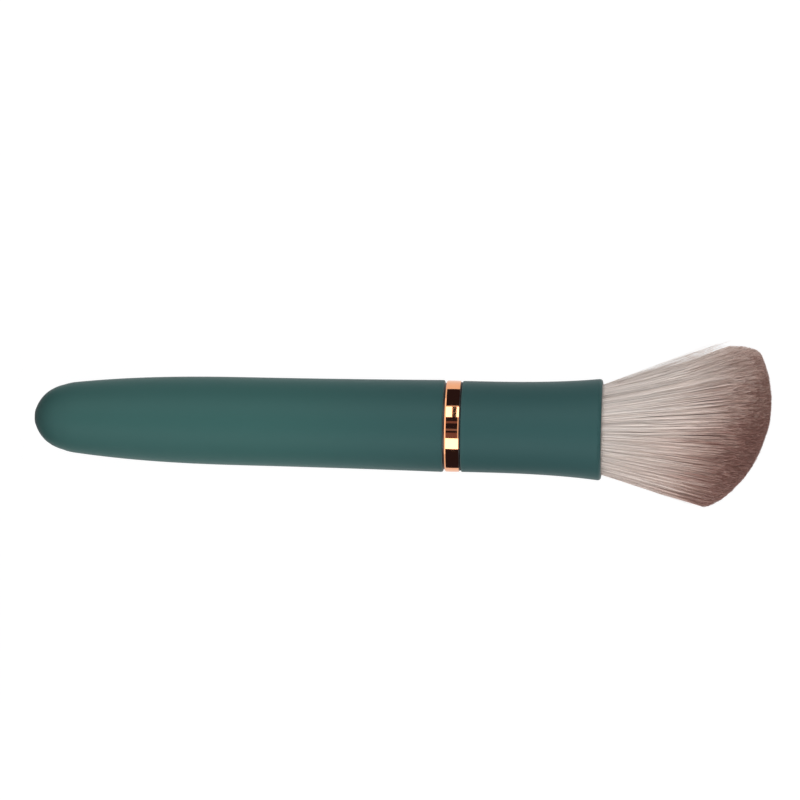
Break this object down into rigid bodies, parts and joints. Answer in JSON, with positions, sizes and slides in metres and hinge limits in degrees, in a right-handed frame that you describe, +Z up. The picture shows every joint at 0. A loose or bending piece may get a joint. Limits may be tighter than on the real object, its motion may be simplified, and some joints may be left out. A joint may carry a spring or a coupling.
{
  "type": "electric makeup brush",
  "caption": "Powder brush lying on its bristles: soft-touch handle with cell, geared motor, tail button and charging socket, polished ring, and flared pull-off head with a fan of bristles.",
  "frame": {"origin": "centre of the bounding box's bottom, on the table that the brush lies on", "axes": "+X runs from the nose to the bristles, +Z is up, +Y is to the left seen from the nose"},
  "size_m": [0.1991, 0.0426, 0.0398],
  "materials": {
    "soft_touch_teal": "soft-touch coat, matt",
    "rose_gold": "polished, rose-gold anodised",
    "dark_button": "satin",
    "black_rubber": "matt",
    "black_plastic": "moulded, satin",
    "natural_plastic": "moulded, satin",
    "gear_plastic": "moulded acetal",
    "steel": "turned and pressed",
    "dark_steel": "blackened",
    "bronze": "sintered bronze",
    "copper": "enamelled wire and segments",
    "magnet": "sintered ferrite",
    "cell_wrap": "shrink wrap",
    "foam": "open-cell foam",
    "board": "solder mask",
    "red_wire": "wire insulation",
    "yellow_wire": "wire insulation",
    "cup_metal": "drawn, bright",
    "resin": "cast resin",
    "fibre": "fine synthetic hair, cream to mauve-brown"
  },
  "bodies": {
    "handle": {"handle_shell": "soft_touch_teal", "trim_ring": "rose_gold", "front_case": "black_plastic", "case_seal": "black_rubber", "output_bush": "bronze", "thrust_washer": "gear_plastic", "ring_gear": "gear_plastic", "motor_plate": "steel", "case_screws": "dark_steel", "inner_frame": "natural_plastic", "motor_can": "steel", "motor_bush": "bronze", "motor_magnets": "magnet", "motor_end_cap": "natural_plastic", "motor_terminals": "bronze", "motor_brushes": "copper", "battery_cell": "cell_wrap", "battery_tabs": "steel", "rear_foam_pad": "foam", "front_foam_pad": "foam", "control_board": "board", "board_chips": "black_plastic", "board_screws": "steel", "tact_switch": "black_plastic", "charge_socket": "black_plastic", "port_grommet": "black_rubber", "button_seal": "black_rubber", "battery_leads": "red_wire", "motor_leads": "yellow_wire"},
    "button": {"tail_button": "dark_button", "switch_plunger": "natural_plastic"},
    "rotor": {"motor_shaft": "steel", "rotor_core": "steel", "rotor_windings": "copper", "commutator": "copper", "sun_gear": "bronze"},
    "drive": {"planet_carrier": "steel", "carrier_pins": "steel", "output_shaft": "steel", "shaft_clip": "dark_steel"},
    "planet_a": {"planet_gear_a": "gear_plastic"},
    "planet_b": {"planet_gear_b": "gear_plastic"},
    "planet_c": {"planet_gear_c": "gear_plastic"},
    "brush_head": {"head_sleeve": "soft_touch_teal", "drive_hub": "black_plastic", "grip_ring": "black_rubber", "ferrule_cup": "cup_metal", "hair_plug": "resin", "bristles": "fibre"}
  },
  "joints": [
    {"name": "head_spin", "type": "hinge", "parent": "handle", "child": "drive", "pos_m": [0.00706, -0.00178, 0.01534], "axis": [0.9986, 0, 0.0533], "continuous": true},
    {"name": "motor_spin", "type": "hinge", "parent": "handle", "child": "rotor", "pos_m": [-0.0191, -0.00178, 0.01394], "axis": [0.9986, 0, 0.0533], "continuous": true},
    {"name": "planet_a_spin", "type": "hinge", "parent": "drive", "child": "planet_a", "pos_m": [-0.00034, -0.00178, 0.00954], "axis": [0.9986, 0, 0.0533], "continuous": true},
    {"name": "planet_b_spin", "type": "hinge", "parent": "drive", "child": "planet_b", "pos_m": [-0.00077, 0.00289, 0.01762], "axis": [0.9986, 0, 0.0533], "continuous": true},
    {"name": "planet_c_spin", "type": "hinge", "parent": "drive", "child": "planet_c", "pos_m": [-0.00077, -0.00646, 0.01762], "axis": [0.9986, 0, 0.0533], "continuous": true},
    {"name": "button_press", "type": "slide", "parent": "handle", "child": "button", "axis": [0.9986, 0, 0.0533], "range_m": [0, 0.0005], "stiffness_N_per_m": 2000},
    {"name": "head_pull", "type": "slide", "parent": "drive", "child": "brush_head", "axis": [0.9986, 0, 0.0533], "range_m": [0, 0.03]}
  ],
  "couplings": [
    {"joint": "motor_spin", "follows": "head_spin", "ratio": 4},
    {"joint": "planet_a_spin", "follows": "head_spin", "ratio": -3},
    {"joint": "planet_b_spin", "follows": "head_spin", "ratio": -3},
    {"joint": "planet_c_spin", "follows": "head_spin", "ratio": -3}
  ]
}
